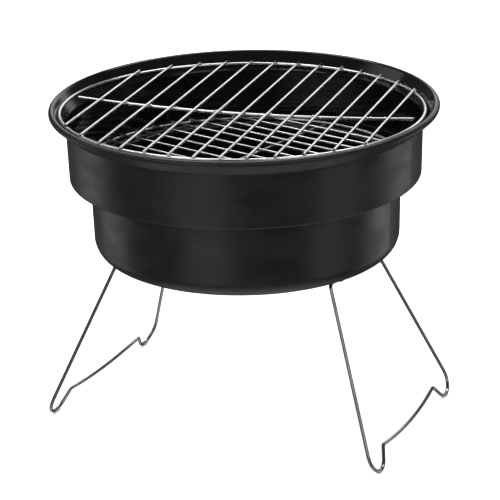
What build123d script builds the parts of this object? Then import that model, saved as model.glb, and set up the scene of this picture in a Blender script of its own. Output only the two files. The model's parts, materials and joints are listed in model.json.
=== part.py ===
"""Round charcoal grill for a table top: a pressed steel bowl on two folding wire legs, with a
cooking grate that lies in the flared rim and a charcoal grate that lies on the step inside.

Millimetres, +Z up. The origin is on the ground, under the centre of the bowl. The hinges of the
legs run along Y, give or take a small toe angle.
"""
import os
from math import atan2, cos, degrees, hypot, radians, sin, sqrt

from build123d import *

# --- bowl -----------------------------------------------------------------------------------
sheet = 0.8                 # sheet steel of the pressing
rim_height = 251.3          # ground to the middle of the rolled rim
rim_radius = 150.0          # outermost edge of the rolled rim
curl_radius = 2.6           # outside radius of the rolled rim
curl_turn = 270.0           # how far the edge is rolled round, degrees
band_top_radius = 137.2     # outside of the wide upper band, under the flare
band_top_drop = 11.3        # rolled rim down to the top of the band
band_foot_radius = 136.0
step_drop = 53.3            # rolled rim down to the underside of the step
cup_top_radius = 120.2      # outside of the narrow lower part
cup_foot_radius = 118.6
floor_drop = 115.2          # rolled rim down to the underside of the floor
floor_corner = 14.4
step_inner_corner = 1.5
step_outer_corner = 1.2
flare_corner = 3.0

# --- folding legs ---------------------------------------------------------------------------
leg_wire = 2.8
leg_splay = 21.1            # lean outward when open, degrees
leg_toe = 1.3               # the two hinge lines close towards the back by this each, degrees
leg_reach = 139.8           # bowl axis to the line of the feet
leg_stagger = 4.65          # one leg sits back and the other forward, so they nest when folded
leg_taper = 0.331           # the uprights close in by this much for each millimetre of height
foot_half_span = 93.0       # leg centre to the upright's line where it would reach the ground
foot_radius = 12.75
notch_half_span = 57.7      # leg centre to the bend where the foot turns into the bottom bar
notch_height = 13.4
bar_height = 9.2            # middle of the bowed bottom bar above the foot
notch_bend = 2.5
hinge_drop = 3.0            # underside of the floor down to the hinge line
hinge_bend = 4.0
tail_half_span = 24.0       # leg centre to the tail, a stop at each end of the wire
tail_length = 8.0           # hinge line to the tip of the tail, outward under the plate
tail_bend = 2.5

# --- hinge brackets -------------------------------------------------------------------------
plate = 1.3
plate_inner_reach = 15.0    # hinge line to the inner edge of the plate
plate_outer_reach = 10.0
plate_half_length = 36.0
plate_corner = 4.0
ear_half_span = 31.0
ear_depth = 5.4
ear_width = 10.0
ear_corner = 2.0
wire_fit = 0.08             # radial clearance of the wire in its ear
rivet_half_span = 13.0
rivet_offset = 7.5          # hinge line to the rivets
rivet_shank = 2.0           # radius
rivet_head_radius = 4.0
rivet_head_height = 2.0
rivet_tail_radius = 3.2
rivet_tail_height = 1.2
rivet_fit = 0.05

# --- cooking grate --------------------------------------------------------------------------
cooking_ring_radius = 139.8
cooking_ring_wire = 2.5
cooking_ring_drop = 2.4     # rolled rim down to the centre of the ring
cooking_bar_wire = 2.0
cooking_bar_count = 13
cooking_bar_pitch = 19.13   # either side of the middle bar
cooking_bar_closing = 0.11  # the gaps close up along the row, by twice this from one to the next
cooking_bar_shift = 6.0     # the middle bar is not quite in the middle of the ring
cooking_bar_overhang = 1.6  # bar ends past the middle of the ring's wire
cooking_turn = 7.6          # row of bars to the X axis, degrees
cooking_tip = 1.7           # the loose grate lies this far out of level in the flare, degrees
cooking_slip = -2.4         # and so this far forward along its bars
cooking_sideslip = -0.6     # and this far along the row
cross_wire = 2.3
cooking_cross_half_length = 134.0
cooking_cross_bow = 16.5
cooking_cross_shift = 1.3

# --- charcoal grate -------------------------------------------------------------------------
charcoal_ring_radius = 131.2
charcoal_ring_wire = 2.4
charcoal_bar_wire = 2.0
charcoal_wide_gaps = 10
charcoal_wide_pitch = 16.5
charcoal_close_gaps = 4     # the last few bars stand closer together
charcoal_close_pitch = 13.8
charcoal_close_start = 55.9 # ring's centre to the bar where the closer gaps begin
charcoal_bar_overhang = 0.6
charcoal_turn = 75.8        # row of bars to the X axis, degrees
charcoal_slip = (-2.0, -0.9)  # the loose grate lies this far off the bowl's axis, in X and Y
charcoal_cross_half_length = 126.0
charcoal_cross_shift = 15.0
seat_gap = 0.3              # loose grate to what it lies on
weld_sink = 0.02            # depth that crossing wires sink into each other at a weld

floor_bottom = rim_height - floor_drop
step_bottom = rim_height - step_drop
hinge_height = floor_bottom - hinge_drop
wire_radius = leg_wire / 2

os.makedirs("parts", exist_ok=True)


def save(part, name):
    part.label = name
    export_step(part, f"parts/{name}.step")


# --- where the legs stand -------------------------------------------------------------------
# A leg is flat. In its own plane, "along" runs with the hinge line and "up" runs up the leg.
lean = radians(leg_splay)
leg_length = (hinge_height - wire_radius) / cos(lean)
hinge_half_span = foot_half_span - leg_taper * leg_length
hinge_reach = leg_reach - leg_length * sin(lean)


def along_direction(side):
    """Horizontal unit vector along the hinge line of the leg on this side (-1 left, +1 right)."""
    return Vector(-side * sin(radians(leg_toe)), cos(radians(leg_toe)), 0)


def outward_direction(side):
    return Vector(side * cos(radians(leg_toe)), sin(radians(leg_toe)), 0)


def leg_plane(side):
    outward = outward_direction(side)
    along = along_direction(side)
    up = outward * -sin(lean) + Vector(0, 0, cos(lean))
    ground_line = outward * leg_reach - along * (side * leg_stagger) + Vector(0, 0, wire_radius)
    return Plane(origin=ground_line, x_dir=along, z_dir=along.cross(up))


def bracket_plane(side):
    """Level plane through the underside of the floor: X points outward and Y along the hinge."""
    outward = outward_direction(side)
    along = along_direction(side)
    middle = outward * hinge_reach - along * (side * leg_stagger) + Vector(0, 0, floor_bottom)
    return Plane(origin=middle, x_dir=outward, z_dir=(0, 0, 1))


# --- pressed bowl ---------------------------------------------------------------------------
# Half section of the outside of the sheet: floor, corner, cup wall, step, band and flare.
curl_inside = curl_radius - sheet
curl_centre = (rim_radius - curl_radius, rim_height)
band_top = (band_top_radius, rim_height - band_top_drop)
to_curl = (curl_centre[0] - band_top[0], curl_centre[1] - band_top[1])
to_curl_length = hypot(*to_curl)
flare_angle = degrees(atan2(to_curl[1], to_curl[0])) + degrees(
    atan2(curl_inside, sqrt(to_curl_length**2 - curl_inside**2))
)
flare_end = (
    curl_centre[0] - curl_inside * sin(radians(flare_angle)),
    curl_centre[1] + curl_inside * cos(radians(flare_angle)),
)

with BuildPart() as bowl_shell:
    with BuildSketch(Plane.XZ) as section:
        with BuildLine() as outline:
            wall = FilletPolyline(
                (0, floor_bottom),
                (cup_foot_radius, floor_bottom),
                (cup_top_radius, step_bottom),
                (band_foot_radius, step_bottom),
                band_top,
                flare_end,
                radius=[floor_corner, step_inner_corner, step_outer_corner, flare_corner],
            )
            CenterArc(curl_centre, curl_inside, flare_angle + 90, -curl_turn)
            offset(amount=sheet, side=Side.LEFT)
        make_face()
    revolve(axis=Axis.Z)
    for side in (-1, 1):
        with BuildSketch(bracket_plane(side)):
            with Locations((-rivet_offset, -rivet_half_span), (-rivet_offset, rivet_half_span)):
                Circle(rivet_shank + rivet_fit)
        extrude(amount=2 * sheet, both=True, mode=Mode.SUBTRACT)
save(bowl_shell.part, "bowl_shell")

# --- hinge brackets and their rivets --------------------------------------------------------
# The plate lies under the floor. Two ears bent down from it hold the ends of the leg's wire.
def make_bracket(side):
    level = bracket_plane(side)
    upright = Plane(origin=level.origin, x_dir=level.x_dir, z_dir=-level.y_dir)
    with BuildPart() as bracket:
        with BuildSketch(level):
            with Locations(((plate_outer_reach - plate_inner_reach) / 2, 0)):
                RectangleRounded(
                    plate_inner_reach + plate_outer_reach, 2 * plate_half_length, plate_corner
                )
        extrude(amount=-plate)
        for end in (-1, 1):
            with BuildSketch(upright.offset(-end * ear_half_span)):
                with BuildLine():
                    ear = FilletPolyline(
                        (-ear_width / 2, -plate),
                        (-ear_width / 2, -ear_depth),
                        (ear_width / 2, -ear_depth),
                        (ear_width / 2, -plate),
                        radius=ear_corner,
                    )
                    Line(ear @ 1, ear @ 0)
                make_face()
                with Locations((0, -hinge_drop)):
                    Circle(wire_radius + wire_fit, mode=Mode.SUBTRACT)
            extrude(amount=plate / 2, both=True)
        with BuildSketch(level):
            with Locations((-rivet_offset, -rivet_half_span), (-rivet_offset, rivet_half_span)):
                Circle(rivet_shank + rivet_fit)
        extrude(amount=-2 * plate, mode=Mode.SUBTRACT)
    return bracket.part


def make_rivets(side):
    """Two round-headed rivets: the domed heads are inside the bowl, the tails are below."""
    level = bracket_plane(side)
    dome = (rivet_head_radius**2 + rivet_head_height**2) / (2 * rivet_head_height)
    solids = []
    for end in (-1, 1):
        foot = level.from_local_coords((-rivet_offset, end * rivet_half_span, 0))
        with BuildPart() as rivet:
            with BuildSketch(Plane(origin=foot, x_dir=level.x_dir, z_dir=-level.y_dir)):
                with BuildLine():
                    Line((0, -plate - rivet_tail_height), (rivet_tail_radius, -plate - rivet_tail_height))
                    Line((rivet_tail_radius, -plate - rivet_tail_height), (rivet_tail_radius, -plate))
                    Line((rivet_tail_radius, -plate), (rivet_shank, -plate))
                    Line((rivet_shank, -plate), (rivet_shank, sheet))
                    Line((rivet_shank, sheet), (rivet_head_radius, sheet))
                    RadiusArc((rivet_head_radius, sheet), (0, sheet + rivet_head_height), -dome)
                    Line((0, sheet + rivet_head_height), (0, -plate - rivet_tail_height))
                make_face()
            revolve(axis=Axis(foot, (0, 0, 1)))
        solids.append(rivet.part.solid())
    return Compound(children=solids)


# --- leg wires ------------------------------------------------------------------------------
# Right half of the flat wire: foot arc, with the upright and the notch tangent to it.
upright_tilt = atan2(leg_taper, 1)
foot_centre = (
    foot_half_span - leg_taper * foot_radius - foot_radius / cos(upright_tilt),
    foot_radius,
)
upright_start = (
    foot_centre[0] + foot_radius * cos(upright_tilt),
    foot_centre[1] + foot_radius * sin(upright_tilt),
)
notch = (notch_half_span, notch_height)
to_notch = (notch[0] - foot_centre[0], notch[1] - foot_centre[1])
notch_distance = hypot(*to_notch)
notch_tangent = atan2(to_notch[1], to_notch[0]) + atan2(
    sqrt(notch_distance**2 - foot_radius**2), foot_radius
)
riser_start = (
    foot_centre[0] + foot_radius * cos(notch_tangent),
    foot_centre[1] + foot_radius * sin(notch_tangent),
)
hinge_corner = (hinge_half_span, leg_length)


def flip(point):
    return (-point[0], point[1])


def is_notch(vertex, side):
    local = leg_plane(side).to_local_coords(Vector(*vertex))
    return abs(abs(local.X) - notch_half_span) < 0.01 and abs(local.Y - notch_height) < 0.01


def make_leg(side):
    hinge_level = bracket_plane(side).offset(-hinge_drop)
    tail_start = tail_half_span + 2 * tail_bend
    with BuildPart() as leg:
        with BuildLine(leg_plane(side)) as frame:
            FilletPolyline(
                (-tail_start, leg_length), flip(hinge_corner), flip(upright_start), radius=hinge_bend
            )
            ThreePointArc(flip(upright_start), (-foot_centre[0], 0), flip(riser_start))
            Line(flip(riser_start), flip(notch))
            ThreePointArc(flip(notch), (0, bar_height), notch)
            Line(notch, riser_start)
            ThreePointArc(riser_start, (foot_centre[0], 0), upright_start)
            FilletPolyline(upright_start, hinge_corner, (tail_start, leg_length), radius=hinge_bend)
            fillet([v for v in frame.vertices() if is_notch(v, side)], radius=notch_bend)
        with BuildLine(hinge_level) as tails:
            for end in (-1, 1):
                FilletPolyline(
                    (tail_length, end * tail_half_span),
                    (0, end * tail_half_span),
                    (0, end * tail_start),
                    radius=tail_bend,
                )
        path = Wire(frame.edges() + tails.edges())
        with BuildSketch(Plane(origin=path @ 0, z_dir=path % 0)):
            Circle(wire_radius)
        sweep(path=path)
        chamfer(leg.faces().filter_by(GeomType.PLANE).edges(), length=wire_radius / 4)
    return leg.part


for side, name in ((-1, "left"), (1, "right")):
    save(make_bracket(side), f"{name}_hinge_bracket")
    save(make_rivets(side), f"{name}_bracket_rivets")
    save(make_leg(side), f"{name}_leg_wire")


# --- grates ---------------------------------------------------------------------------------
# Each grate is a hoop with parallel bars welded on top of it, and one cross wire welded to the
# underside of the bars. In a grate's plane X runs along the row of bars and Y along each bar.
def make_ring(plane, ring_radius, wire):
    with BuildPart() as ring:
        with BuildSketch(Plane(origin=plane.origin, x_dir=plane.x_dir, z_dir=-plane.y_dir)):
            with Locations((ring_radius, 0)):
                Circle(wire / 2)
        revolve(axis=Axis(plane.origin, plane.z_dir))
    return ring.part


def make_bar(plane, place, height, ring_radius, overhang, wire):
    """One straight bar at this place in the row, its ends just past the hoop's wire."""
    half_length = sqrt(ring_radius**2 - place**2) + overhang
    middle = plane.from_local_coords((place, 0, height))
    with BuildPart() as bar:
        with BuildSketch(Plane(origin=middle, x_dir=plane.x_dir, z_dir=plane.y_dir)):
            Circle(wire / 2)
        extrude(amount=half_length, both=True)
        chamfer(bar.edges().filter_by(GeomType.CIRCLE), length=wire / 10)
    return bar.part


def make_cross_wire(plane, half_length, shift, bow, height):
    """The wire across the bars: an arc bowed along the bars by this much at its middle."""
    level = plane.offset(height)
    with BuildPart() as cross:
        with BuildLine(level) as path:
            if bow:
                ThreePointArc((-half_length, shift), (0, shift - bow), (half_length, shift))
            else:
                Line((-half_length, shift), (half_length, shift))
        with BuildSketch(Plane(origin=path.wire() @ 0, z_dir=path.wire() % 0)):
            Circle(cross_wire / 2)
        sweep(path=path.wire())
    return cross.part


# The cooking grate lies in the flare, a little out of level: low at the back, high in front.
turned = Plane(
    origin=(0, 0, rim_height - cooking_ring_drop),
    x_dir=(cos(radians(cooking_turn)), sin(radians(cooking_turn)), 0),
    z_dir=(0, 0, 1),
)
tipped_up = Vector(0, sin(radians(cooking_tip)), cos(radians(cooking_tip)))
cooking_plane = Plane(
    origin=turned.from_local_coords((cooking_sideslip, cooking_slip, 0)),
    x_dir=turned.x_dir,
    z_dir=turned.from_local_coords(tipped_up) - turned.origin,
)
cooking_bar_height = cooking_ring_wire / 2 + cooking_bar_wire / 2 - weld_sink
save(make_ring(cooking_plane, cooking_ring_radius, cooking_ring_wire), "cooking_ring")
for number in range(cooking_bar_count):
    step = number - (cooking_bar_count - 1) / 2
    place = step * cooking_bar_pitch - step**2 * cooking_bar_closing + cooking_bar_shift
    bar = make_bar(
        cooking_plane, place, cooking_bar_height, cooking_ring_radius, cooking_bar_overhang,
        cooking_bar_wire,
    )
    save(bar, f"cooking_bar_{number + 1:02d}")
cooking_cross_height = cooking_bar_height - cooking_bar_wire / 2 - cross_wire / 2 + weld_sink
cooking_cross = make_cross_wire(
    cooking_plane, cooking_cross_half_length, cooking_cross_shift, cooking_cross_bow,
    cooking_cross_height,
)
save(cooking_cross, "cooking_cross_wire")

# The charcoal grate lies level on the step.
charcoal_plane = Plane(
    origin=(*charcoal_slip, step_bottom + sheet + seat_gap + charcoal_ring_wire / 2),
    x_dir=(cos(radians(charcoal_turn)), sin(radians(charcoal_turn)), 0),
    z_dir=(0, 0, 1),
)
charcoal_bar_height = charcoal_ring_wire / 2 + charcoal_bar_wire / 2 - weld_sink
save(make_ring(charcoal_plane, charcoal_ring_radius, charcoal_ring_wire), "charcoal_ring")
for number in range(charcoal_wide_gaps + charcoal_close_gaps + 1):
    step = number - charcoal_wide_gaps
    pitch = charcoal_close_pitch if step > 0 else charcoal_wide_pitch
    place = charcoal_close_start + step * pitch
    bar = make_bar(
        charcoal_plane, place, charcoal_bar_height, charcoal_ring_radius, charcoal_bar_overhang,
        charcoal_bar_wire,
    )
    save(bar, f"charcoal_bar_{number + 1:02d}")
charcoal_cross_height = charcoal_bar_height - charcoal_bar_wire / 2 - cross_wire / 2 + weld_sink
charcoal_cross = make_cross_wire(
    charcoal_plane, charcoal_cross_half_length, charcoal_cross_shift, 0, charcoal_cross_height
)
save(charcoal_cross, "charcoal_cross_wire")
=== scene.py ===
"""Looks for the portable tabletop grill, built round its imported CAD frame. Metres, +Z up."""
import json
import math

import bmesh
import bpy
from mathutils import Matrix, Vector


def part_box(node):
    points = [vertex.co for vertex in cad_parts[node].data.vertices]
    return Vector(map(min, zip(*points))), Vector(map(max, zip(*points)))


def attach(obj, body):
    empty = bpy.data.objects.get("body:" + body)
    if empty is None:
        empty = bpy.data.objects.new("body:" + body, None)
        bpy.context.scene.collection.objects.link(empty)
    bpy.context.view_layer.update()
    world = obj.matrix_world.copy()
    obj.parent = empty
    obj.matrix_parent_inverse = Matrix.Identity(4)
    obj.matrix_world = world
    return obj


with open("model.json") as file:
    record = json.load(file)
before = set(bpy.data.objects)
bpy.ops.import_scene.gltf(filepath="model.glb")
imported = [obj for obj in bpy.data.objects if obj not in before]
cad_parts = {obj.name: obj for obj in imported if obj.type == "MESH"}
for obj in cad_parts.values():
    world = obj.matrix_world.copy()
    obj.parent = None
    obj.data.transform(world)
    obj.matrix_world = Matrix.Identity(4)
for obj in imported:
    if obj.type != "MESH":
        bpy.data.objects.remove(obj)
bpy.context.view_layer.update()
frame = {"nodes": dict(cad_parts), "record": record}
nodes = frame["nodes"]
scene = bpy.context.scene

# --- camera ---------------------------------------------------------------------------------
rim_curl_radius = 0.0026
rim_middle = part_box("bowl_shell")[1].z - rim_curl_radius
view_turn = math.radians(24.8)         # the grill is turned this much from square to the camera
camera_distance = 1.79122
camera_rise = 0.54070                  # above the middle of the rim
camera_pitch = math.radians(20.21)
camera_yaw = math.radians(0.06)
camera_roll = math.radians(-1.41)
camera_lens = 175.49                   # on the 36 mm sensor

look = Vector((
    math.sin(camera_yaw) * math.cos(camera_pitch),
    math.cos(camera_yaw) * math.cos(camera_pitch),
    -math.sin(camera_pitch),
))
right = Vector((math.cos(camera_yaw), -math.sin(camera_yaw), 0))
up = right.cross(look)
rolled_right = right * math.cos(camera_roll) + up * math.sin(camera_roll)
rolled_up = up * math.cos(camera_roll) - right * math.sin(camera_roll)
turn = Matrix.Rotation(view_turn, 4, "Z")
camera_data = bpy.data.cameras.new("photo_camera")
camera_data.lens = camera_lens
camera_data.clip_start = 0.05
camera_data.clip_end = 50
camera = bpy.data.objects.new("photo_camera", camera_data)
scene.collection.objects.link(camera)
basis = Matrix((rolled_right, rolled_up, -look)).transposed().to_4x4()
place = Matrix.Translation((0, -camera_distance, rim_middle + camera_rise))
camera.matrix_world = turn @ place @ basis
scene.camera = camera


# --- floor and light ------------------------------------------------------------------------
def make_material(name):
    material = bpy.data.materials.new(name)
    material.use_nodes = True
    tree = material.node_tree
    return material, tree, tree.nodes["Principled BSDF"]


def add_floor(half_size):
    """A pale paper floor. Polished surfaces reflect the studio instead of it."""
    corners = [(-1, -1, 0), (1, -1, 0), (1, 1, 0), (-1, 1, 0)]
    corners = [Vector(corner) * half_size for corner in corners]
    mesh = bpy.data.meshes.new("floor")
    mesh.from_pydata(corners, [], [(0, 1, 2, 3)])
    floor = bpy.data.objects.new("floor", mesh)
    scene.collection.objects.link(floor)
    material, tree, shader = make_material("floor_paper")
    shader.inputs["Base Color"].default_value = (0.9, 0.9, 0.9, 1)
    shader.inputs["Roughness"].default_value = 0.9
    shader.inputs["Specular IOR Level"].default_value = 0.0
    mesh.materials.append(material)
    floor.visible_glossy = False


def add_lamp(name, azimuth, elevation, distance, width, power):
    """A square soft lamp that reflections don't show. Azimuth 0 is on the camera's side and grows
    to the camera's right. Angles are in degrees and power is in watts."""
    lamp = bpy.data.lights.new(name, "AREA")
    lamp.size = width
    lamp.energy = power
    holder = bpy.data.objects.new(name, lamp)
    scene.collection.objects.link(holder)
    angle = math.radians(azimuth)
    rise = math.radians(elevation)
    away = Vector((
        math.sin(angle) * math.cos(rise),
        -math.cos(angle) * math.cos(rise),
        math.sin(rise),
    ))
    away = turn.to_3x3() @ away
    holder.location = away * distance
    holder.rotation_mode = "QUATERNION"
    holder.rotation_quaternion = away.to_track_quat("Z", "Y")
    holder.visible_glossy = False


class Nodes:
    """Short ways to add nodes to a tree."""

    def __init__(self, tree):
        self.tree = tree

    def add(self, kind, **values):
        node = self.tree.nodes.new(kind)
        for name, value in values.items():
            setattr(node, name, value)
        return node

    def feed(self, socket, value):
        if isinstance(value, bpy.types.NodeSocket):
            self.tree.links.new(value, socket)
        else:
            socket.default_value = value

    def maths(self, operation, *values):
        node = self.add("ShaderNodeMath", operation=operation)
        for socket, value in zip(node.inputs, values):
            self.feed(socket, value)
        return node.outputs[0]

    def ramp(self, value, low, high, to_low, to_high):
        node = self.add("ShaderNodeMapRange", interpolation_type="SMOOTHSTEP")
        for socket, number in zip(node.inputs, (value, low, high, to_low, to_high)):
            self.feed(socket, number)
        return node.outputs["Result"]


def add_studio(base, panels):
    """A dim room with soft bright panels. Each panel is (azimuth, half width, height, half
    height, soft edge, strength): azimuth and half width in degrees, to the right of straight
    behind the grill, and the heights and soft edge as the sine of the elevation."""
    edge_angle = 60                    # degrees of soft side edge for a soft edge of 1
    world = bpy.data.worlds.new("studio")
    world.use_nodes = True
    scene.world = world
    tree = world.node_tree
    make = Nodes(tree)
    coordinates = make.add("ShaderNodeTexCoord")
    turned = make.add("ShaderNodeVectorRotate", rotation_type="Z_AXIS")
    turned.inputs["Angle"].default_value = -view_turn
    tree.links.new(coordinates.outputs["Generated"], turned.inputs["Vector"])
    split = make.add("ShaderNodeSeparateXYZ")
    tree.links.new(turned.outputs[0], split.inputs[0])
    azimuth = make.maths("ARCTAN2", split.outputs["X"], split.outputs["Y"])
    total = base
    for centre, half_width, height, half_height, soft, strength in panels:
        centre = math.radians(centre)
        half_width = math.radians(half_width)
        side_soft = math.radians(edge_angle * soft)
        aside = make.maths("PINGPONG", make.maths("SUBTRACT", azimuth, centre), math.pi)
        above = make.maths("ABSOLUTE", make.maths("SUBTRACT", split.outputs["Z"], height))
        across = make.ramp(aside, half_width, half_width + side_soft, strength, 0.0)
        upward = make.ramp(above, half_height, half_height + soft, 1.0, 0.0)
        total = make.maths("ADD", total, make.maths("MULTIPLY", across, upward))
    tree.links.new(total, tree.nodes["Background"].inputs["Strength"])
    tree.nodes["Background"].inputs["Color"].default_value = (1, 1, 1, 1)


add_floor(30.0)
add_studio(0.09, [
    (14, 22, 0.3, 0.1, 0.12, 1.1),       # white wall behind, seen in the cooking bars
    (0, 60, 0.84, 0.08, 0.05, 4.0),      # lamp high behind, seen in the wires that lie across
    (-140, 16, 0.5, 0.14, 0.1, 1.5),     # soft boxes each side of the camera, seen in them too
    (150, 16, 0.5, 0.14, 0.1, 1.2),
    (0, 180, -0.95, 0.08, 0.06, 0.6),    # pale floor, seen under the step and the bowl
    (-62, 12, -0.36, 0.15, 0.1, 0.8),    # side walls, seen at the edges of the bowl
    (62, 12, -0.36, 0.15, 0.1, 1.0),
    (-74, 14, 0.42, 0.12, 0.08, 0.8),    # soft box on the left, seen in the flare
    (-150, 12, -0.3, 0.25, 0.15, 0.75),  # front left, a soft streak on the band and the legs
    (118, 10, -0.3, 0.25, 0.12, 0.6),    # front right, a weaker one
])
add_lamp("top_fill", 0, 75, 3.0, 3.0, 70)
add_lamp("left_fill", -80, 28, 3.2, 2.5, 70)
add_lamp("right_fill", 80, 28, 3.2, 2.5, 60)
add_lamp("back_fill", 180, 30, 3.5, 2.5, 90)
add_lamp("front_fill", 0, 24, 3.2, 2.0, 50)
scene.view_settings.view_transform = "Standard"
scene.view_settings.look = "None"


# --- finishes -------------------------------------------------------------------------------
def object_noise(make, scale, detail, stretch=(1, 1, 1), angle=0.0):
    """Noise in the object's own metres, stretched along an axis that is turned about Z."""
    coordinates = make.add("ShaderNodeTexCoord")
    mapping = make.add("ShaderNodeMapping", vector_type="TEXTURE")
    mapping.inputs["Rotation"].default_value = (0, 0, angle)
    mapping.inputs["Scale"].default_value = stretch
    make.feed(mapping.inputs["Vector"], coordinates.outputs["Object"])
    noise = make.add("ShaderNodeTexNoise")
    noise.inputs["Scale"].default_value = scale
    noise.inputs["Detail"].default_value = detail
    make.feed(noise.inputs["Vector"], mapping.outputs[0])
    return noise.outputs["Fac"]


def add_bump(make, height, distance, strength, below=None):
    bump = make.add("ShaderNodeBump")
    bump.inputs["Strength"].default_value = strength
    bump.inputs["Distance"].default_value = distance
    make.feed(bump.inputs["Height"], height)
    if below:
        make.feed(bump.inputs["Normal"], below)
    return bump.outputs["Normal"]


def set_shaded_colour(make, shader, colour, shade):
    """One colour, made lighter or darker over the surface."""
    shaded = make.add("ShaderNodeVectorMath", operation="SCALE")
    shaded.inputs[0].default_value = colour
    make.feed(shaded.inputs["Scale"], shade)
    make.feed(shader.inputs["Base Color"], shaded.outputs[0])


def coat_material(name, colour, roughness, peel_size, peel_depth, dust):
    """Baked black coat: orange peel, a fine grain, hand smears in its gloss and faint dust."""
    material, tree, shader = make_material(name)
    make = Nodes(tree)
    peel = object_noise(make, 1 / peel_size, 2)
    grain = object_noise(make, 2600, 2)
    smear = object_noise(make, 28, 5, (1, 1, 0.45))
    speck = object_noise(make, 600, 1)
    shade = make.maths("ADD", make.ramp(speck, 0.62, 0.8, 0.0, dust), 1.0)
    shade = make.maths("MULTIPLY", shade, make.ramp(smear, 0.3, 0.7, 0.85, 1.2))
    set_shaded_colour(make, shader, colour, shade)
    gloss = make.ramp(smear, 0.3, 0.7, roughness * 0.8, roughness * 1.25)
    dusty = make.ramp(speck, 0.6, 0.8, 0, 0.03)
    make.feed(shader.inputs["Roughness"], make.maths("ADD", gloss, dusty))
    normal = add_bump(make, peel, peel_depth, 0.35)
    make.feed(shader.inputs["Normal"], add_bump(make, grain, peel_depth / 15, 0.3, normal))
    shader.inputs["IOR"].default_value = 1.45
    return material


def plated_material(name, tint, roughness, line_turn=0.0, stain=0.25):
    """Plated wire: fine drawn lines, a little pitting and duller, darker patches. The lines run
    along Y, turned about Z: along a grate's bars, though not along its ring or a leg's bends."""
    material, tree, shader = make_material(name)
    make = Nodes(tree)
    lines = object_noise(make, 3500, 2, (1, 30, 1), line_turn)
    pits = object_noise(make, 1500, 3)
    patches = object_noise(make, 60, 4)
    dull = make.ramp(patches, 0.4, 0.75, 0.0, 1.0)
    shade = make.maths("SUBTRACT", 1.0, make.maths("MULTIPLY", dull, stain))
    shade = make.maths("MULTIPLY", shade, make.ramp(pits, 0.25, 0.45, 0.72, 1.0))
    set_shaded_colour(make, shader, tint, shade)
    gloss = make.ramp(lines, 0.3, 0.7, roughness * 0.7, roughness * 1.3)
    duller = make.maths("MULTIPLY", dull, 0.12)
    make.feed(shader.inputs["Roughness"], make.maths("ADD", gloss, duller))
    normal = add_bump(make, lines, 0.000008, 0.4)
    make.feed(shader.inputs["Normal"], add_bump(make, pits, 0.00001, 0.3, normal))
    shader.inputs["Metallic"].default_value = 1
    return material


def zinc_material(name, tint, roughness, spangle_size):
    """Zinc plated sheet or rivet: spangle patches with rolling scratches and grey bloom."""
    material, tree, shader = make_material(name)
    make = Nodes(tree)
    coordinates = make.add("ShaderNodeTexCoord")
    spangle = make.add("ShaderNodeTexVoronoi")
    spangle.inputs["Scale"].default_value = 1 / spangle_size
    make.feed(spangle.inputs["Vector"], coordinates.outputs["Object"])
    cell = make.add("ShaderNodeSeparateXYZ")
    make.feed(cell.inputs[0], spangle.outputs["Color"])
    scratches = object_noise(make, 900, 3, (12, 1, 1))
    bloom = object_noise(make, 90, 5)
    cell_shade = make.ramp(cell.outputs["X"], 0, 1, 0.85, 1.1)
    shade = make.maths("MULTIPLY", cell_shade, make.ramp(bloom, 0.35, 0.75, 1.05, 0.75))
    set_shaded_colour(make, shader, tint, shade)
    gloss = make.ramp(cell.outputs["Y"], 0, 1, roughness * 0.8, roughness * 1.2)
    bloomed = make.ramp(bloom, 0.4, 0.8, 0, 0.2)
    make.feed(shader.inputs["Roughness"], make.maths("ADD", gloss, bloomed))
    make.feed(shader.inputs["Normal"], add_bump(make, scratches, 0.00003, 0.5))
    shader.inputs["Metallic"].default_value = 1
    return material


def coat_bowl():
    """The coat is duller outside than on the glossy inside, and both share one shell. The inside is
    also darker in colour than the outside, though it is the same paint: painted shade for the inside
    of the bowl.
    """
    satin = coat_material("coat_outside", (0.0045, 0.0045, 0.005), 0.34, 0.0011, 0.00004, 0.3)
    # same paint as outside, with a darker colour: painted shade inside the bowl
    gloss = coat_material("coat_inside_painted_shade", (0.002, 0.002, 0.002), 0.12, 0.0022, 0.00006, 0.3)
    mesh = nodes["bowl_shell"].data
    mesh.materials.clear()
    mesh.materials.append(satin)
    mesh.materials.append(gloss)
    for face in mesh.polygons:
        outward = Vector((face.center.x, face.center.y, 0)).normalized()
        is_outside = face.normal.dot(outward) > 0.02 or face.normal.z < -0.5
        face.material_index = 0 if is_outside else 1


# --- grate welds ----------------------------------------------------------------------------
bar_wire = 0.002
cross_wire = 0.0023
nugget_half_height = 0.0006
collar_length = 0.0024
vertex_reach = 0.004


def bar_ends(name):
    """The middles of a straight bar's two ends."""
    points = [vertex.co for vertex in nodes[name].data.vertices]
    middle = sum(points, Vector()) / len(points)
    far = max(points, key=lambda point: (point - middle).length)
    axis = (far - middle).normalized()
    reach = max((point - middle).dot(axis) for point in points)
    return middle - axis * reach, middle + axis * reach


def add_nugget(mesh, centre, along, above, half_length, half_width):
    """A squeezed, slightly lumpy bead of metal where two wires are welded. Its lumps differ with
    its place."""
    size = (half_length, half_width, nugget_half_height)
    aside = above.cross(along)
    bead = bmesh.ops.create_icosphere(mesh, subdivisions=2, radius=1)["verts"]
    for vertex in bead:
        point = vertex.co.copy()
        wave = math.sin(5 * point.x + 900 * centre.x) * math.cos(4 * point.y + 700 * centre.y)
        lump = 1 + 0.12 * wave
        spot = along * point.x * size[0] + aside * point.y * size[1] + above * point.z * size[2]
        vertex.co = centre + spot * lump


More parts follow.
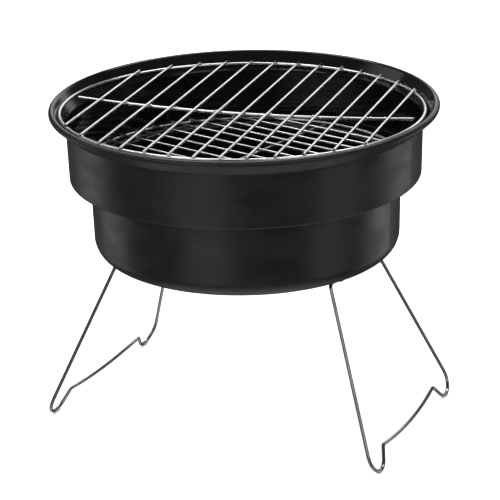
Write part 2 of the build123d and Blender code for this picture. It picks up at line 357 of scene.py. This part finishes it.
def add_collar(mesh, centre, along, above, radius):
    """The upset ridge of a butt weld round a wire. Each row of it is (place along the ridge, size
    against the wire's)."""
    aside = above.cross(along)
    steps = 20
    rows = ((-0.5, 0.86), (-0.3, 1.04), (-0.1, 1.1), (0.1, 1.09), (0.3, 1.03), (0.5, 0.86))
    rings = []
    for place, swell in rows:
        ring = []
        for step in range(steps):
            angle = math.tau * step / steps
            size = radius * swell * (1 + 0.015 * math.sin(3 * angle + 9 * place))
            spot = aside * math.cos(angle) * size + above * math.sin(angle) * size
            ring.append(mesh.verts.new(centre + along * place * collar_length + spot))
        rings.append(ring)
    for low, high in zip(rings, rings[1:]):
        for step in range(steps):
            after = (step + 1) % steps
            mesh.faces.new((low[step], low[after], high[after], high[step]))
    mesh.faces.new(rings[0][::-1])
    mesh.faces.new(rings[-1])


def weld_grate(grate, ring_wire, overhang, collar_at):
    """Nuggets where each bar crosses the hoop, and the hoop's butt weld, that many radians from
    the row of bars. The bars' ends pass the hoop by the overhang. Returns the welds and the bars'
    turn about Z.

    Nuggets on the cross wire are placed by its nearest vertices, not by the crossing itself, so
    they can sit up to vertex_reach beside their bar, and a bar with no vertex near gets none."""
    bars = [bar_ends(name) for name in sorted(nodes) if name.startswith(f"{grate}_bar_")]
    first, last = bars[0], bars[-1]
    row = ((last[0] + last[1]) - (first[0] + first[1])).normalized()
    along = (first[1] - first[0]).normalized()
    above = row.cross(along)
    if above.z < 0:
        above = -above
    mesh = bmesh.new()
    cross_points = [vertex.co for vertex in nodes[f"{grate}_cross_wire"].data.vertices]
    for start, end in bars:
        axis = (end - start).normalized()
        aside = above.cross(axis)
        down = above * bar_wire / 2
        for place in (start + axis * overhang, end - axis * overhang):
            add_nugget(mesh, place - down, axis, above, ring_wire * 0.52, bar_wire * 0.66)
        near = [point for point in cross_points if abs((point - start).dot(aside)) < vertex_reach]
        if near:
            spot = sum(near, Vector()) / len(near) + above * cross_wire / 2
            add_nugget(mesh, spot, axis, above, cross_wire * 0.66, bar_wire * 0.66)
    low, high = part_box(f"{grate}_ring")
    centre = (low + high) / 2
    ring_radius = (high.x - low.x - ring_wire) / 2
    out = (row * math.cos(collar_at) + along * math.sin(collar_at)).normalized()
    add_collar(mesh, centre + out * ring_radius, above.cross(out), above, ring_wire / 2)
    data = bpy.data.meshes.new(f"{grate}_welds")
    mesh.to_mesh(data)
    mesh.free()
    for face in data.polygons:
        face.use_smooth = True
    piece = bpy.data.objects.new(f"{grate}_welds", data)
    scene.collection.objects.link(piece)
    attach(piece, f"{grate}_grate")
    return piece, math.atan2(-along.x, along.y)


coat_bowl()
cooking_welds, cooking_angle = weld_grate("cooking", 0.0025, 0.0016, 2.5)
charcoal_welds, charcoal_angle = weld_grate("charcoal", 0.0024, 0.0006, 0.7)
slot_finish = {
    "bracket_steel": zinc_material("zinc_plate", (0.5, 0.5, 0.52), 0.34, 0.004),
    "rivet_steel": zinc_material("rivet_steel", (0.58, 0.58, 0.59), 0.28, 0.0015),
    "leg_chrome": plated_material("leg_chrome", (0.4, 0.4, 0.41), 0.1),
    "cooking_chrome": plated_material("cooking_chrome", (0.9, 0.9, 0.91), 0.18, cooking_angle, 0.12),
    "charcoal_chrome": plated_material("charcoal_chrome", (0.88, 0.88, 0.89), 0.24, charcoal_angle),
}
slot_of = {row["node"]: row["material_slot"] for row in frame["record"]["subparts"]}
for name, node in nodes.items():
    if slot_of[name] in slot_finish:
        node.data.materials.clear()
        node.data.materials.append(slot_finish[slot_of[name]])
cooking_welds.data.materials.append(slot_finish["cooking_chrome"])
charcoal_welds.data.materials.append(slot_finish["charcoal_chrome"])
